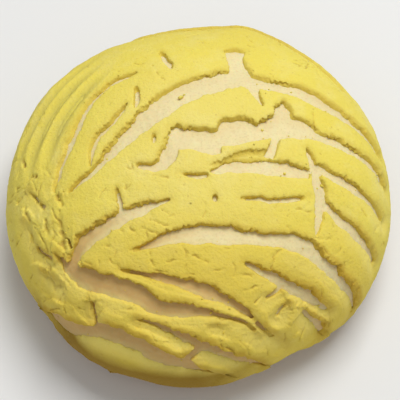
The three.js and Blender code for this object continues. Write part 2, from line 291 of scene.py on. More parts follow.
class DoughFinish(bpy.types.PropertyGroup):
    """Sizes and colours of the bun."""

    levels: repeats("Levels", "How often the bun's faces are split", 2)
    grain: length("Grain", "Spacing of the mesh before it is thinned", 0.5)
    raise_all: length("Raise", "How far the dough comes up to the paste all over", 0.4)
    swell_far: length("Far swell", "How far the dough swells up along the far side of a gap", 0.2)
    swell_near: length("Near swell", "How far the dough swells up along the near side of a gap", 1.0)
    swell_low: length("Low swell", "The near swell of the gaps low down in front", 0.45)
    swell_flush: length("Flush swell", "The far swell of the gaps at the back and on the right", 0.8)
    swell_above: length("Swell above", "Level over the floor below which the dough does not swell", 5)
    swell_ramp: length("Swell ramp", "How far over that level the dough swells fully", 3)
    smoothing: repeats("Smoothing", "Smoothing steps of the bun", 12)
    gap_smoothing: repeats("Gap smoothing", "Smoothing steps of the dough in the gaps", 25)
    skin_size: length("Skin size", "Width of the lumps of the dough in the gaps", 4)
    skin_height: length("Skin height", "Height of the lumps of the dough in the gaps", 0.5)
    pore_size: length("Pore size", "Width of the pores of the dough in the gaps", 1.2)
    pore_height: length("Pore height", "Depth of the pores of the dough in the gaps", 0.4)
    crumb_colour: colour("Crumb", "Colour of the bread in the gaps near the crown", 0.83, 0.72, 0.39)
    patch_colour: colour("Patch", "Colour of the darker patches of the bread", 0.76, 0.62, 0.32)
    # Painted shade: the bread in front is darker and more golden, where the light from behind falls weakest.
    golden_front_shade_colour: colour("Golden", "Colour of the bread in front", 0.78, 0.63, 0.24)
    # Painted shade on the bread where it goes under the paste.
    edge_shade_colour: colour("Edge", "Colour of the bread where it goes under the paste", 0.66, 0.48, 0.17)
    fleck_colour: colour("Fleck", "Colour of the specks of the bread", 0.62, 0.47, 0.22)
    # Painted shade on the bread low down in front, where the light from behind does not reach.
    under_shade_colour: colour("Under", "Colour of the bread low down in front", 0.34, 0.21, 0.06)
    # Painted shadow on the far sides of the gaps, cast by the plates above them; low down in front a tan of the
    # bread together with painted shade.
    tan_and_shadow_colour: colour("Tan", "Colour of the bread on the far sides of the gaps and low down", 0.66, 0.43, 0.15)
    crust_colour: colour("Crust", "Colour of the baked base", 0.42, 0.20, 0.06)
    roughness: portion("Roughness", "Roughness of the bread", 0.7)


class CrumbScatter(bpy.types.PropertyGroup):
    """Number and sizes of the loose crumbs of paste."""

    count: repeats("Count", "How many crumbs lie along the torn edges", 220)
    smallest: length("Smallest", "Half the width of the smallest crumb", 0.12)
    largest: length("Largest", "Half the width of the largest crumb", 0.42)
    spread: length("Spread", "How far from a torn edge crumbs lie", 3)


class StageSetup(bpy.types.PropertyGroup):
    """Camera, floor and lights."""

    camera_height: angle("Camera height", "Angle of the view over the floor", 62)
    camera_distance: length("Camera distance", "From the camera to the point it looks at", 420)
    camera_view: angle("Camera view", "Angle that the camera sees", 16.19)
    floor_size: length("Floor size", "Side of the floor", 6000)
    floor_colour: colour("Floor", "Colour of the floor", 0.82, 0.82, 0.81)
    key_power: power("Key", "Power of the key light", 6.0)
    front_power: power("Front", "Power of the front light", 0.8)
    fill_strength: portion("Fill", "Strength of the light from all round", 0.33)


def pick(piece):
    """Makes a piece the only one selected, and the active one."""
    bpy.ops.object.select_all(action="DESELECT")
    piece.select_set(True)
    bpy.context.view_layer.objects.active = piece


def copy_of_node(node, name):
    """A new piece with a copy of a node's mesh, its loose triangles merged."""
    piece = bpy.data.objects.new(name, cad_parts[node].data.copy())
    bpy.context.scene.collection.objects.link(piece)
    pick(piece)
    bpy.ops.object.mode_set(mode="EDIT")
    bpy.ops.mesh.select_all(action="SELECT")
    bpy.ops.mesh.remove_doubles(threshold=MERGE_DISTANCE)
    bpy.ops.object.mode_set(mode="OBJECT")
    return piece


def apply_modifier(piece, kind, **settings):
    """Adds a modifier of that kind to a piece, sets it and applies it."""
    pick(piece)
    modifier = piece.modifiers.new(kind, kind)
    for name, value in settings.items():
        setattr(modifier, name, value)
    bpy.ops.object.modifier_apply(modifier=modifier.name)


def weigh_by_distance(piece, group, target, none_at, full_at, geometry="FACE", mask=None):
    """Fills a vertex group by the distance from the target's faces or edges, broken up by a texture if any."""
    everything = piece.vertex_groups.new(name=group)
    everything.add(range(len(piece.data.vertices)), 0, "REPLACE")
    apply_modifier(
        piece,
        "VERTEX_WEIGHT_PROXIMITY",
        vertex_group=group,
        target=target,
        proximity_mode="GEOMETRY",
        proximity_geometry={geometry},
        min_dist=none_at,
        max_dist=full_at,
        mask_texture=mask,
        mask_tex_use_channel="INT",
    )


def combine(piece, group, other, how):
    """Changes a vertex group by another one."""
    apply_modifier(
        piece, "VERTEX_WEIGHT_MIX", vertex_group_a=group, vertex_group_b=other, mix_mode=how, mix_set="ALL"
    )


def keep_as_attribute(piece, group, attribute):
    """Stores a vertex group's weights as an attribute that a material can read."""
    index = piece.vertex_groups[group].index
    weights = [0.0] * len(piece.data.vertices)
    for vertex in piece.data.vertices:
        for element in vertex.groups:
            if element.group == index:
                weights[vertex.index] = element.weight
    piece.data.attributes.new(attribute, "FLOAT", "POINT").data.foreach_set("value", weights)


def noise_texture(name, size, depth):
    """A soft noise whose lumps have that size."""
    texture = bpy.data.textures.new(name, "CLOUDS")
    texture.noise_scale = size
    texture.noise_depth = depth
    return texture


def roughen(piece, texture, height, group="", middle=0.5):
    """Moves the surface in and out by a texture, by height in all."""
    apply_modifier(
        piece,
        "DISPLACE",
        texture=texture,
        texture_coords="LOCAL",
        direction="NORMAL",
        strength=height,
        mid_level=middle,
        vertex_group=group,
    )


def soften(piece, steps, group=""):
    """Smooths a piece, or a vertex group of it."""
    apply_modifier(piece, "SMOOTH", factor=SMOOTH_FACTOR, iterations=steps, vertex_group=group)


def sink(piece, group, depth):
    """Moves a vertex group's surface inwards."""
    apply_modifier(piece, "DISPLACE", strength=-depth, mid_level=0, vertex_group=group)


def triangle_count(piece):
    """How many triangles a piece has."""
    return sum(len(face.vertices) - 2 for face in piece.data.polygons)


def thin_group(piece, group, ratio):
    """Collapses edges of a vertex group until that share of its faces is left."""
    pick(piece)
    piece.vertex_groups.active_index = piece.vertex_groups[group].index
    bpy.ops.object.vertex_group_clean(group_select_mode="ACTIVE", limit=CLEAN_LIMIT)
    bpy.ops.object.mode_set(mode="EDIT")
    bpy.ops.mesh.select_mode(type="VERT")
    bpy.ops.mesh.select_all(action="DESELECT")
    bpy.ops.object.vertex_group_select()
    bpy.ops.mesh.decimate(ratio=ratio)
    bpy.ops.object.mode_set(mode="OBJECT")


def thin_to(piece, most):
    """Collapses edges until a piece has at most that many triangles."""
    count = triangle_count(piece)
    if count > most:
        apply_modifier(piece, "DECIMATE", decimate_type="COLLAPSE", ratio=most / count)


def torn_edges(piece):
    """The sharp edges of a piece, as a piece of wire."""
    wire = bpy.data.objects.new("torn_edges", piece.data.copy())
    bpy.context.scene.collection.objects.link(wire)
    pick(wire)
    bpy.ops.object.mode_set(mode="EDIT")
    bpy.ops.mesh.select_mode(type="EDGE")
    bpy.ops.mesh.select_all(action="DESELECT")
    bpy.ops.mesh.edges_select_sharp(sharpness=SHARP_ANGLE)
    bpy.ops.mesh.select_all(action="INVERT")
    bpy.ops.mesh.delete(type="EDGE")
    bpy.ops.object.mode_set(mode="OBJECT")
    return wire


def surface_of(piece):
    """A piece's faces, ready to be searched."""
    return BVHTree.FromPolygons(
        [vertex.co for vertex in piece.data.vertices], [face.vertices for face in piece.data.polygons]
    )


def torn_places(piece, ground):
    """Points along the sharp edges of a piece, brought down to the dough, each with the way from it into the
    plate and how far it lies on the far side of its gap, from 0 to 1."""
    sides = {}
    for face in piece.data.polygons:
        for key in face.edge_keys:
            sides.setdefault(key, []).append(face.normal.copy())
    places = []
    for (first, last), normals in sides.items():
        if normals[0].angle(normals[-1], 0) < SHARP_ANGLE:
            continue
        start = piece.data.vertices[first].co
        end = piece.data.vertices[last].co
        steps = math.ceil((end - start).length / TORN_STEP)
        for step in range(steps + 1):
            foot, up, _, height = ground.find_nearest(start.lerp(end, step / steps))
            if height < PASTE_THICKNESS / 2:
                continue
            wall = min(normals, key=lambda normal: abs(normal.dot(up)))
            inward = (up * wall.dot(up) - wall).normalized()
            back = (Vector((0, 1, 0)) - up * up.y).normalized()
            places.append((foot, inward, within(inward.dot(back), *FAR_SIDE)))
    return places


def within(value, low, high):
    """How far a value has come from one limit to another, between 0 and 1."""
    return min(1, max(0, (value - low) / (high - low)))


def tree_of(places):
    """The places of the torn edges, ready to be searched."""
    tree = KDTree(len(places))
    for index, place in enumerate(places):
        tree.insert(place[0], index)
    tree.balance()
    return tree


def edges_near(tree, places, spot):
    """The mean place of the torn edges near a spot, and their mean way into the plate and side of the gap."""
    edge = Vector()
    inward = Vector()
    far_side = 0
    total = 0
    for point, index, away in tree.find_n(spot, NEAR_PLACES):
        weight = 1 / (away * away + EDGE_BLUR * EDGE_BLUR)
        edge += point * weight
        inward += places[index][1] * weight
        far_side += places[index][2] * weight
        total += weight
    return edge / total, inward / total, far_side / total


def span(place, tree, places, way):
    """How far it is from a torn edge across its plate to the next one, or across its gap if way is -1."""
    foot, inward, _ = place
    reach = WIDEST_PLATE
    for other, index, _ in tree.find_range(foot, WIDEST_PLATE):
        across = (other - foot).dot(inward)
        aside = (other - foot - inward * across).length
        facing = places[index][1].dot(inward)
        if across * way > ACROSS_LEAST and aside < ASIDE_MOST and facing < FACING_BACK:
            reach = min(reach, across * way)
    return reach


def lean_walls(piece, places, ground, finish):
    """Leans the torn walls back, most on the far side of a gap, bites into them, and marks the far-side walls for
    their deeper colour with painted shade and the lit upper edges in front for a painted highlight.
    """
    tree = tree_of(places)
    far_places = [place for place in places if place[2] >= FAR_LIMIT]
    far_tree = tree_of(far_places)
    widths = [span(place, tree, places, 1) for place in far_places]
    gaps = [span(place, tree, places, -1) for place in far_places]
    walls = piece.vertex_groups.new(name="wall")
    pale = piece.vertex_groups.new(name="pale")
    for vertex in piece.data.vertices:
        foot = ground.find_nearest(vertex.co)[0]
        distance = tree.find(foot)[2]
        if distance > finish.slope_reach:
            continue
        rise = vertex.co - foot
        height = within(rise.length, PASTE_FROM, PASTE_FROM + PASTE_THICKNESS)
        lowness = within(vertex.co.z, HIGH_LEVEL, LOW_LEVEL)
        forward = lowness * within(foot.y, FRONT_FROM, FRONT_FULL)
        edge, inward, far_side = edges_near(tree, places, foot)
        far_inward = edges_near(far_tree, far_places, foot)[1]
        nearest, index, far_distance = far_tree.find(foot)
        own = within((foot - nearest).dot(far_places[index][1]), *OWN_SIDE)
        shift = inward * finish.lean_least * (1 - far_side) * height * within(distance, finish.lean_reach, 0)
        lean = finish.lean_high + (finish.lean_low - finish.lean_high) * forward
        reach = min(finish.lean_reach, PLATE_SHARE * widths[index])
        lean = min(lean, LEAN_SHARE * reach, max(NARROW_LEAN, GAP_SHARE * gaps[index] - GAP_MARGIN))
        shift += far_inward * own * lean * (height - FOOT_SHARE * forward) * within(far_distance, reach, 0)
        least = LEAST_CRUMBLE + FRONT_CRUMBLE * forward
        patch = within(noise.noise(foot / finish.patch_size), *PATCHES)
        crumbling = least + (1 - least) * far_side * patch
        bite = finish.ragged_height * noise.noise((edge + BITE_TILT * rise) / finish.ragged_size)
        crumbs = (HIGH_CRUMBS - FEWER_CRUMBS * lowness) * finish.crumble_height
        bite += crumbs * noise.noise((edge + rise) / finish.crumble_size)
        shift += inward * bite * crumbling * (1 - FRONT_CALM * forward) * within(distance, finish.edge_reach, 0)
        most = finish.slope_share + (finish.slope_low - finish.slope_share) * lowness * (1 - far_side)
        slope = most * within(distance, finish.slope_reach, 0) ** 2
        crest = finish.crest_low * forward * own * within(far_distance, finish.slope_reach, 0)
        crest *= within(gaps[index], *CREST_GAPS)
        vertex.co = foot + rise * (1 + crest) * (1 - slope) + shift
        # The far-side walls, which face away from the light, are marked for their colour with painted shade.
        wall_reach = (WALL_REACH + WALL_REACH_LOW * lowness) * MM
        below_top = within(height, 1, WALL_TOP + WALL_TOP_LOW * lowness)
        share = far_side * within(distance, wall_reach, wall_reach / 3) * below_top
        if share > 0:
            walls.add([vertex.index], share, "REPLACE")
        # The near-side upper edges in front, which face up to the light, are marked for a painted highlight.
        share = (1 - far_side) * forward * within(distance, finish.pale_highlight_reach, finish.pale_highlight_reach / 4)
        share *= within(vertex.co.z, *PALE_HIGHLIGHT_LEVELS)
        if share > 0:
            pale.add([vertex.index], share, "REPLACE")


def swell_gaps(piece, group, places, finish):
    """Raises the dough in the gaps of the paste, most along their near sides, and marks their far sides for a
    painted shadow.
    """
    near_edges = tree_of([place for place in places if place[2] < FAR_LIMIT])
    far_edges = tree_of([place for place in places if place[2] >= FAR_LIMIT])
    shaded = piece.vertex_groups.new(name="far")
    index = piece.vertex_groups[group].index
    normals = [vertex.normal.copy() for vertex in piece.data.vertices]
    for vertex, normal in zip(piece.data.vertices, normals):
        weight = sum(element.weight for element in vertex.groups if element.group == index)
        if weight == 0:
            continue
        near = near_edges.find(vertex.co)[2]
        far_side = near / (near + far_edges.find(vertex.co)[2])
        flush = max(within(vertex.co.x, *FLUSH_RIGHT), within(vertex.co.y, *FLUSH_BACK))
        far_swell = finish.swell_far + (finish.swell_flush - finish.swell_far) * flush
        lowness = within(vertex.co.z, HIGH_LEVEL, LOW_BREAD_LEVEL) * within(vertex.co.y, FRONT_FROM, FRONT_FULL)
        near_swell = finish.swell_near + (finish.swell_low - finish.swell_near) * lowness
        vertex.co += normal * (weight * (near_swell + (far_swell - near_swell) * far_side))
        shaded.add([vertex.index], far_side, "REPLACE")


def wire_on(piece, name, paths, ease=0):
    """Paths seen from above, in millimetres, as wire that lies on a piece and rises by ease at its ends."""
    points = []
    edges = []
    for path in paths:
        edges += [(len(points) + step, len(points) + step + 1) for step in range(len(path) - 1)]
        points += [(x * MM, y * MM, TOP_OF_ALL) for x, y in path]
    mesh = bpy.data.meshes.new(name)
    mesh.from_pydata(points, edges, [])
    wire = bpy.data.objects.new(name, mesh)
    bpy.context.scene.collection.objects.link(wire)
    apply_modifier(
        wire,
        "SHRINKWRAP",
        target=piece,
        wrap_method="PROJECT",
        use_project_z=True,
        use_positive_direction=False,
        use_negative_direction=True,
    )
    corners = iter(wire.data.vertices)
    for path in paths:
        for step in range(len(path)):
            corner = next(corners)
            ends = within(min(step, len(path) - 1 - step), len(path) / 3, 0)
            corner.co += corner.co.normalized() * ease * ends
    return wire


def strewn_cracks(draw, count, start, end, near, far, shortest, longest):
    """Hairline cracks strewn over a part of the paste."""
    cracks = []
    for _ in range(count):
        bearing = math.radians(draw.uniform(start, end))
        distance = draw.uniform(near, far)
        spot = (distance * math.cos(bearing), distance * math.sin(bearing))
        cracks.append((*spot, draw.uniform(0, 180), draw.uniform(shortest, longest)))
    return cracks


def crack_paths(cracks, draw):
    """Every crack as a wandering path."""
    paths = []
    for x, y, heading, reach in cracks:
        path = [(x, y)]
        for _ in range(round(reach / HAIRLINE_STEP)):
            turned = math.radians(heading + draw.uniform(-HAIRLINE_WANDER, HAIRLINE_WANDER))
            x += HAIRLINE_STEP * math.cos(turned)
            y += HAIRLINE_STEP * math.sin(turned)
            path.append((x, y))
        paths.append(path)
    return paths


def fold_paths():
    """Every soft fold as an arc whose distance from the middle changes evenly."""
    paths = []
    for near, far, start, end in FOLDS:
        path = []
        for step in range(FOLD_STEPS + 1):
            share = step / FOLD_STEPS
            bearing = math.radians(start + (end - start) * share)
            distance = near + (far - near) * share
            path.append((distance * math.cos(bearing), distance * math.sin(bearing)))
        paths.append(path)
    return paths


def new_material(name):
    """A material with its shader, and a function that adds nodes to it and links them."""
    material = bpy.data.materials.new(name)
    material.use_nodes = True
    nodes = material.node_tree.nodes
    links = material.node_tree.links
    shader = nodes["Principled BSDF"]

    def add(kind, inputs=None, **settings):
        node = nodes.new("ShaderNode" + kind)
        for key, value in settings.items():
            setattr(node, key, value)
        for key, value in (inputs or {}).items():
            if isinstance(value, bpy.types.NodeSocket):
                links.new(value, node.inputs[key])
            else:
                node.inputs[key].default_value = value
        return node

    return material, shader, add, links


def opaque(tone):
    """A colour with full alpha, or a node's socket as it is."""
    return tone if isinstance(tone, bpy.types.NodeSocket) else (*tone, 1)


def blend(add, share, first, second):
    """The colour between two colours, by a share."""
    inputs = {0: share, 6: opaque(first), 7: opaque(second)}
    return add("Mix", inputs, data_type="RGBA").outputs[2]


def band(add, value, low, high, start=0.0, end=1.0):
    """A value spread from one range over another, and kept inside it."""
    inputs = {"Value": value, "From Min": low, "From Max": high, "To Min": start, "To Max": end}
    return add("MapRange", inputs).outputs["Result"]


def paint(add, ground, layers):
    """A ground colour with layers of colour over it, each by its own share."""
    for share, tone in layers:
        ground = blend(add, share, ground, tone)
    return ground


def product(add, first, second):
    """One value times another."""
    return add("Math", {0: first, 1: second}, operation="MULTIPLY").outputs["Value"]


def way_to_front(add, place):
    """How far a place lies towards the darkest part of the rim."""
    return add("VectorMath", {0: place, 1: FRONT_LEFT}, operation="DOT_PRODUCT").outputs["Value"]


def stored(add, attribute):
    """The value of an attribute of the mesh."""
    return add("Attribute", attribute_name=attribute).outputs["Fac"]


def set_sockets(shader, values):
    """Sets what is the same all over a material."""
    for name, value in values.items():
        shader.inputs[name].default_value = value


def paste_material(finish):
    """Matte yellow sugar paste with a sandy grain, hairline cracks and deeper torn walls, with painted shade on
    the far-side walls, in the cracks and folds, in front, at the back and on the front-left rim, and a painted
    highlight at the crown and along the upper edges of the lower plates.
    """
    material, shader, add, links = new_material("sugar_paste")
    place = add("TexCoord").outputs["Object"]
    along = add("SeparateXYZ", {"Vector": place})
    depth = along.outputs["Y"]
    level = along.outputs["Z"]
    patches = add("TexNoise", {"Vector": place, "Scale": 45, "Detail": 3}).outputs["Fac"]
    frost = add("TexNoise", {"Vector": place, "Scale": 110, "Detail": 4, "Roughness": 0.6}).outputs["Fac"]
    grain = add("TexNoise", {"Vector": place, "Scale": 1300, "Detail": 2, "Roughness": 0.6}).outputs["Fac"]
    specks = add("TexNoise", {"Vector": place, "Scale": 900, "Detail": 1}).outputs["Fac"]
    # Colour of the far-side torn walls with painted shade, darker towards the front.
    wall = blend(add, band(add, depth, -12 * MM, -32 * MM), finish.wall_tone_and_shade_colour, finish.low_wall_tone_and_shade_colour)
    # Painted shade on the low front-left rim, and darker towards the bottom all round.
    in_front = band(add, way_to_front(add, place), 40 * MM, 54 * MM)
    front_rim_shade = product(add, band(add, level, 19 * MM, 24.5 * MM, 1.0, 0.0), in_front)
    low = band(add, level, 5 * MM, 16 * MM, 0.9, 0.0)
    rim = add("Math", {0: front_rim_shade, 1: low}, operation="MAXIMUM").outputs["Value"]
    layers = (
        (band(add, patches, 0.35, 0.65, 0.0, 0.35), finish.warm_colour),
        (band(add, frost, 0.5, 0.75, 0.0, 0.45), finish.frost_colour),
        # Painted highlight with sugar bloom: paler at the crown.
        (band(add, level, 46 * MM, 52 * MM, 0.0, 0.3), finish.crown_bloom_and_highlight_colour),
        (band(add, grain, 0.3, 0.7, 0.0, 0.16), finish.grain_colour),
        # Painted shade on the plates in front.
        (band(add, depth, -16 * MM, -36 * MM, 0.0, 0.7), finish.golden_front_shade_colour),
        (band(add, specks, 0.68, 0.78, 0.0, 0.3), finish.crack_shade_and_speck_colour),
        # Painted shade in the folds.
        (band(add, stored(add, "fold_shade_share"), 0.25, 0.9, 0.0, 0.75), finish.fold_shade_colour),
        # Deeper colour with painted shade on the far-side torn walls.
        (stored(add, "shaded_wall_share"), wall),
        # Painted shade in the cracks.
        (band(add, stored(add, "crack_shade_share"), 0.2, 0.9, 0.0, 0.8), finish.crack_shade_and_speck_colour),
        # Painted shade at the back.
        (band(add, depth, 32 * MM, 50 * MM, 0.0, 0.35), finish.back_shade_colour),
        # Painted shade on the front-left rim; darker towards the bottom.
        (rim, finish.rim_shade_and_bottom_colour),
        # Painted highlight on the upper edges of the lower plates.
        (band(add, stored(add, "pale_highlight_share"), 0.0, 1.0, 0.0, 0.7), finish.pale_highlight_colour),
    )
    links.new(paint(add, finish.face_colour, layers), shader.inputs["Base Color"])
    relief = add("Bump", {"Strength": 0.8, "Distance": 0.35 * MM, "Height": grain})
    links.new(relief.outputs["Normal"], shader.inputs["Normal"])
    same_all_over = {
        "Roughness": finish.roughness,
        "Specular IOR Level": 0.2,
        "Subsurface Weight": 0.2,
        "Subsurface Radius": (1, 0.85, 0.3),
        "Subsurface Scale": 1.5 * MM,
    }
    set_sockets(shader, same_all_over)
    return material


def dough_material(finish):
    """Pale bread with fine specks, tanned low down in front together with painted shade, with painted shade in
    front and where it goes under the paste, painted shadow on the far sides of the gaps, and baked brown at its
    base.
    """
    material, shader, add, links = new_material("sweet_dough")
    place = add("TexCoord").outputs["Object"]
    level = add("SeparateXYZ", {"Vector": place}).outputs["Z"]
    in_front = way_to_front(add, place)
    patches = add("TexNoise", {"Vector": place, "Scale": 120, "Detail": 3}).outputs["Fac"]
    specks = add("TexNoise", {"Vector": place, "Scale": 1500, "Detail": 1}).outputs["Fac"]
    # Painted shadow on the far sides of the gaps in front, and a tan with painted shade low down.
    forward = band(add, in_front, 22 * MM, 40 * MM, 0.15, 1.0)
    far_side = {0: forward, 1: 0.5, 2: stored(add, "far_side_shadow_share")}
    moved = add("Math", far_side, operation="MULTIPLY_ADD").outputs["Value"]
    shaded = product(add, band(add, moved, 0.55, 0.9), forward)
    turned = band(add, in_front, 18 * MM, 38 * MM, 0.4, 1.0)
    low = product(add, band(add, level, 20 * MM, 36 * MM, 1.0, 0.0), turned)
    # Painted shade on the lowest bread in front.
    lowest_shade = product(add, band(add, level, 15 * MM, 25 * MM, 0.8, 0.0), band(add, in_front, 46 * MM, 56 * MM))
    layers = (
        (band(add, patches, 0.35, 0.7, 0.0, 0.5), finish.patch_colour),
        # Painted shade on the bread in front.
        (band(add, in_front, 24 * MM, 40 * MM), finish.golden_front_shade_colour),
        (shaded, finish.tan_and_shadow_colour),
        (low, finish.tan_and_shadow_colour),
        # Painted shade where the bread meets the paste.
        (band(add, stored(add, "gap_share"), 0.0, 0.8, 0.3, 0.0), finish.edge_shade_colour),
        (band(add, specks, 0.5, 0.75, 0.0, 0.35), finish.fleck_colour),
        (lowest_shade, finish.under_shade_colour),
        (band(add, level, 3 * MM, 9 * MM, 1.0, 0.0), finish.crust_colour),
    )
    links.new(paint(add, finish.crumb_colour, layers), shader.inputs["Base Color"])
    relief = add("Bump", {"Strength": 0.35, "Distance": 0.2 * MM, "Height": patches})
    links.new(relief.outputs["Normal"], shader.inputs["Normal"])
    same_all_over = {
        "Roughness": finish.roughness,
        "Specular IOR Level": 0.3,
        "Subsurface Weight": 0.3,
        "Subsurface Radius": (1, 0.6, 0.3),
        "Subsurface Scale": 2 * MM,
    }
    set_sockets(shader, same_all_over)
    return material


def floor_material(stage):
    """Plain pale floor."""
    material, shader = new_material("pale_floor")[:2]
    set_sockets(shader, {"Base Color": opaque(stage.floor_colour), "Roughness": 0.9, "Specular IOR Level": 0.1})
    return material


def hand_over(piece, material, node):
    """Finishes a piece: smooth shading, material, body, and the node that it replaces, if any."""
    pick(piece)
    bpy.ops.object.shade_smooth()
    piece.data.materials.clear()
    piece.data.materials.append(material)
    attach(piece, BODY)
    if node:
        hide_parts(node)


def weigh_open(piece, group, cover):
    """Fills a vertex group where nothing lies over a piece, and a second one where the cover does."""
    tree = surface_of(cover)
    found = {True: [], False: []}
    for vertex in piece.data.vertices:
        hit = tree.ray_cast(vertex.co, vertex.normal, COVER_REACH)[0]
        found[hit is None].append(vertex.index)
    inside = set(found[True])
    edges = [tuple(edge.vertices) for edge in piece.data.edges]
    for _ in range(OPEN_RINGS):
        inside |= {index for edge in edges if not inside.isdisjoint(edge) for index in edge}
    opened = piece.vertex_groups.new(name=group)
    opened.add(range(len(piece.data.vertices)), 0, "REPLACE")
    opened.add(list(inside), 1, "REPLACE")
    pick(piece)
    piece.vertex_groups.active_index = opened.index
    bpy.ops.object.mode_set(mode="EDIT")
    bpy.ops.mesh.select_all(action="SELECT")
    bpy.ops.object.vertex_group_smooth(group_select_mode="ACTIVE", factor=SMOOTH_FACTOR, repeat=2)
    bpy.ops.object.mode_set(mode="OBJECT")
    covered = piece.vertex_groups.new(name="covered")
    reached = set()
    for vertex in piece.data.vertices:
        if opened.index in [element.group for element in vertex.groups]:
            reached.add(vertex.index)
    covered.add([index for index in found[False] if index not in reached], 1, "REPLACE")


def level_plane():
    """A large sheet at floor level, to measure heights from."""
    bpy.ops.object.select_all(action="DESELECT")
    bpy.ops.mesh.primitive_plane_add(size=1, location=(0, 0, 0))
    return bpy.context.object


class CONCHA_OT_paste(bpy.types.Operator):
    """Models the scored sheet of paste with soft plates and crumbling torn edges"""

    bl_idname = "concha.paste"
    bl_label = "Sugar Paste"

    def execute(self, context):
        finish = context.scene.concha_paste
        draw = random.Random(CRACK_SEED)
        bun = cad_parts["bun"]
        piece = copy_of_node("topping", "paste")
        surface = surface_of(bun)
        places = torn_places(piece, surface)
        wires = [torn_edges(piece)]
        hair = list(HAIRLINES)
        for strewn in STREWN_CRACKS:
            hair += strewn_cracks(draw, *strewn)
        wires.append(wire_on(piece, "hairlines", crack_paths(hair, draw)))
        wires.append(wire_on(piece, "cracks", crack_paths(CRACKS, draw)))
        wires.append(wire_on(piece, "folds", fold_paths(), finish.fold_width))
        torn, hairlines, cracks, folds = wires
        apply_modifier(piece, "REMESH", mode="VOXEL", voxel_size=finish.grain)
        weigh_by_distance(piece, "outer", bun, finish.face_from, finish.face_full)
        weigh_by_distance(piece, "inner", bun, finish.inner_from, finish.inner_full)
        weigh_by_distance(piece, "torn", torn, finish.edge_reach, 0, "EDGE")
        weigh_by_distance(piece, "plate", torn, finish.plate_from, finish.plate_full, "EDGE")
        combine(piece, "plate", "outer", "MUL")
        soften(piece, finish.plate_smoothing, "plate")
        soften(piece, finish.smoothing)
        roughen(piece, noise_texture("plate_lumps", finish.lump_size, 2), finish.lump_height, "outer")
        weigh_by_distance(piece, "fold", folds, finish.fold_width, 0, "EDGE")
        sink(piece, "fold", finish.fold_depth)
        roughen(piece, noise_texture("plate_grain", finish.grain_size, 1), finish.grain_height, "plate")
        broken = noise_texture("broken_lines", finish.broken_size, 0)
        weigh_by_distance(piece, "hairline", hairlines, finish.hairline_width, 0, "EDGE", broken)
        sink(piece, "hairline", finish.hairline_depth)
        weigh_by_distance(piece, "crack", cracks, finish.crack_width, 0, "EDGE", broken)
        sink(piece, "crack", finish.crack_depth)
        combine(piece, "hairline", "crack", "ADD")
        lean_walls(piece, places, surface, finish)
        roughen(piece, noise_texture("torn_crumbs", finish.crumble_size, 1), finish.chip_height, "torn")
        roughen(piece, noise_texture("sugar_crust", finish.crust_size, 1), finish.crust_height, "outer")
        thin_group(piece, "inner", INNER_LEFT)
        thin_to(piece, MOST_TRIANGLES)
        # Masks kept for the material: the torn-wall colour with painted shade, the painted highlight, and the
        # painted shade in the cracks and folds.
        keep_as_attribute(piece, "wall", "shaded_wall_share")
        keep_as_attribute(piece, "pale", "pale_highlight_share")
        keep_as_attribute(piece, "hairline", "crack_shade_share")
        keep_as_attribute(piece, "fold", "fold_shade_share")
        for helper in wires:
            bpy.data.objects.remove(helper)
        hand_over(piece, paste_material(finish), "topping")
        return {"FINISHED"}


class CONCHA_OT_dough(bpy.types.Operator):
    """Models the bun, swelling up in the gaps of the paste"""

    bl_idname = "concha.dough"
    bl_label = "Dough"

    def execute(self, context):
        finish = context.scene.concha_dough
        piece = copy_of_node("bun", "dough")
        bpy.ops.object.mode_set(mode="EDIT")
        bpy.ops.mesh.select_all(action="SELECT")
        bpy.ops.mesh.tris_convert_to_quads(face_threshold=QUAD_ANGLE, shape_threshold=math.pi)
        bpy.ops.object.mode_set(mode="OBJECT")
        apply_modifier(piece, "SUBSURF", levels=finish.levels, render_levels=finish.levels)
        apply_modifier(piece, "REMESH", mode="VOXEL", voxel_size=finish.grain)
        soften(piece, finish.smoothing)
        ground = level_plane()
        weigh_open(piece, "gap", bpy.data.objects["paste"])
        weigh_by_distance(piece, "risen", ground, finish.swell_above, finish.swell_above + finish.swell_ramp)
        apply_modifier(piece, "DISPLACE", strength=finish.raise_all, mid_level=0, vertex_group="risen")
        combine(piece, "gap", "risen", "MUL")
        sheet = copy_of_node("topping", "sheet")
        surface = surface_of(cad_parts["bun"])
        swell_gaps(piece, "gap", torn_places(sheet, surface), finish)
        bpy.data.objects.remove(sheet)
        soften(piece, finish.gap_smoothing, "gap")
        roughen(piece, noise_texture("dough_skin", finish.skin_size, 2), finish.skin_height, "gap")
        roughen(piece, noise_texture("dough_pores", finish.pore_size, 2), finish.pore_height, "gap")
        thin_group(piece, "covered", COVERED_LEFT)
        thin_to(piece, MOST_TRIANGLES)
        # Masks kept for the material: the painted shade where the bread goes under the paste and the painted
        # shadow on the far sides of the gaps.
        keep_as_attribute(piece, "gap", "gap_share")
        keep_as_attribute(piece, "far", "far_side_shadow_share")
        bpy.data.objects.remove(ground)
        hand_over(piece, dough_material(finish), "bun")
        return {"FINISHED"}


def landing(spot, up, pieces):
    """Where something that falls towards the dough at a spot lands, and the way the surface faces there."""
    start = spot + up * DROP_HEIGHT
    hits = [tree.ray_cast(start, -up) for tree in pieces]
    return min((hit for hit in hits if hit[0]), key=lambda hit: hit[3])[:2]


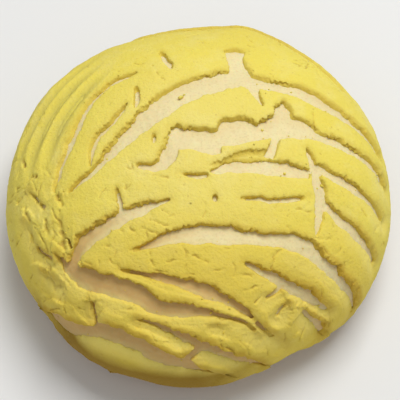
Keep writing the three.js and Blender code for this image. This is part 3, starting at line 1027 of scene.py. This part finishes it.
class CONCHA_OT_crumbs(bpy.types.Operator):
    """Models one crumb of paste and lays copies of it along the torn edges and on the bread"""

    bl_idname = "concha.crumbs"
    bl_label = "Crumbs"

    def execute(self, context):
        scatter = context.scene.concha_crumbs
        draw = random.Random(CRUMB_SEED)
        bpy.ops.object.select_all(action="DESELECT")
        bpy.ops.mesh.primitive_ico_sphere_add(subdivisions=2, radius=1, location=(0, 0, 0))
        model = context.object
        roughen(model, noise_texture("crumb_shape", *CRUMB_LUMPS), CRUMB_LUMP_HEIGHT)
        shape = [vertex.co.copy() for vertex in model.data.vertices]
        sides = [tuple(face.vertices) for face in model.data.polygons]
        pieces = [surface_of(bpy.data.objects[name]) for name in ("paste", "dough")]
        surface = surface_of(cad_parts["bun"])
        sheet = copy_of_node("topping", "sheet")
        places = torn_places(sheet, surface)
        drops = []
        for x, y, size in LOOSE_CRUMBS:
            spot, up = surface.ray_cast(Vector((x * MM, y * MM, TOP_OF_ALL)), Vector((0, 0, -1)))[:2]
            drops.append((spot, up, size * MM))
        for _ in range(scatter.count):
            foot, inward, _ = draw.choice(places)
            spot, up = surface.find_nearest(foot - inward * draw.uniform(*CRUMB_PLACES) * scatter.spread)[:2]
            size = scatter.smallest + (scatter.largest - scatter.smallest) * draw.random() ** 2
            drops.append((spot, up, size))
        corners = []
        faces = []
        for spot, up, size in drops:
            ground, facing = landing(spot, up, pieces)
            turn = Euler([draw.uniform(0, math.tau) for _ in range(3)]).to_matrix()
            stretch = Vector((1, draw.uniform(*CRUMB_WIDTHS), draw.uniform(*CRUMB_HEIGHTS))) * size
            middle = ground + facing * CRUMB_LIFT * size
            faces += [tuple(len(corners) + corner for corner in side) for side in sides]
            corners += [middle + turn @ Vector(map(operator.mul, corner, stretch)) for corner in shape]
        mesh = bpy.data.meshes.new("crumbs")
        mesh.from_pydata(corners, [], faces)
        piece = bpy.data.objects.new("crumbs", mesh)
        context.scene.collection.objects.link(piece)
        for helper in (model, sheet):
            bpy.data.objects.remove(helper)
        hand_over(piece, bpy.data.materials["sugar_paste"], None)
        return {"FINISHED"}


class CONCHA_OT_stage(bpy.types.Operator):
    """Sets out the floor, the lights and the camera"""

    bl_idname = "concha.stage"
    bl_label = "Stage"

    def execute(self, context):
        stage = context.scene.concha_stage
        bpy.ops.object.select_all(action="DESELECT")
        bpy.ops.mesh.primitive_plane_add(size=stage.floor_size, location=(0, 0, 0))
        floor = context.object
        floor.name = "floor"
        floor.data.materials.append(floor_material(stage))
        add_camera(stage)
        add_light("key_light", *KEY_LIGHT, stage.key_power)
        add_light("front_light", *FRONT_LIGHT, stage.front_power)
        add_world(stage)
        context.scene.view_settings.view_transform = "Standard"
        return {"FINISHED"}


def add_camera(stage):
    """The camera, in front of the concha and high over it."""
    height = stage.camera_height
    away = Vector((0, -math.cos(height), math.sin(height)))
    spot = AIM + away * stage.camera_distance
    bpy.ops.object.camera_add(location=spot, rotation=(math.pi / 2 - height, 0, 0))
    camera = bpy.context.object
    camera.name = "camera"
    camera.data.sensor_fit = "HORIZONTAL"
    camera.data.angle = stage.camera_view
    camera.data.clip_start, camera.data.clip_end = CAMERA_CLIP
    bpy.context.scene.camera = camera


def add_light(name, direction, distance, size, watts):
    """A square soft box that faces the point it is aimed at."""
    away = direction.normalized()
    turn = (-away).to_track_quat("-Z", "Y").to_euler()
    bpy.ops.object.light_add(type="AREA", location=AIM + away * distance, rotation=turn)
    lamp = bpy.context.object
    lamp.name = name
    lamp.data.shape = "SQUARE"
    lamp.data.size = size
    lamp.data.energy = watts


def add_world(stage):
    """Even dim light from all round."""
    world = bpy.data.worlds.new("soft_room")
    world.use_nodes = True
    background = world.node_tree.nodes["Background"]
    background.inputs["Color"].default_value = (1, 1, 1, 1)
    background.inputs["Strength"].default_value = stage.fill_strength
    bpy.context.scene.world = world


class CONCHA_PT_panel(bpy.types.Panel):
    """Lists the pieces of the concha"""

    bl_label = "Concha"
    bl_idname = "CONCHA_PT_panel"
    bl_space_type = "VIEW_3D"
    bl_region_type = "UI"
    bl_category = "Concha"

    def draw(self, context):
        for item in OPERATORS:
            self.layout.operator(item.bl_idname)


SETTINGS = {
    "concha_paste": PasteFinish,
    "concha_dough": DoughFinish,
    "concha_crumbs": CrumbScatter,
    "concha_stage": StageSetup,
}
OPERATORS = (CONCHA_OT_paste, CONCHA_OT_dough, CONCHA_OT_crumbs, CONCHA_OT_stage)
CLASSES = (*SETTINGS.values(), *OPERATORS, CONCHA_PT_panel)


def register():
    """Registers the classes, and the settings on the scene."""
    for item in CLASSES:
        bpy.utils.register_class(item)
    for name, group in SETTINGS.items():
        setattr(bpy.types.Scene, name, PointerProperty(type=group))


def unregister():
    """Takes away what register added."""
    for name in SETTINGS:
        delattr(bpy.types.Scene, name)
    for item in reversed(CLASSES):
        bpy.utils.unregister_class(item)


def main():
    """Builds every piece in order."""
    register()
    bpy.ops.concha.paste()
    bpy.ops.concha.dough()
    bpy.ops.concha.crumbs()
    bpy.ops.concha.stage()


if __name__ == "__main__":
    main()
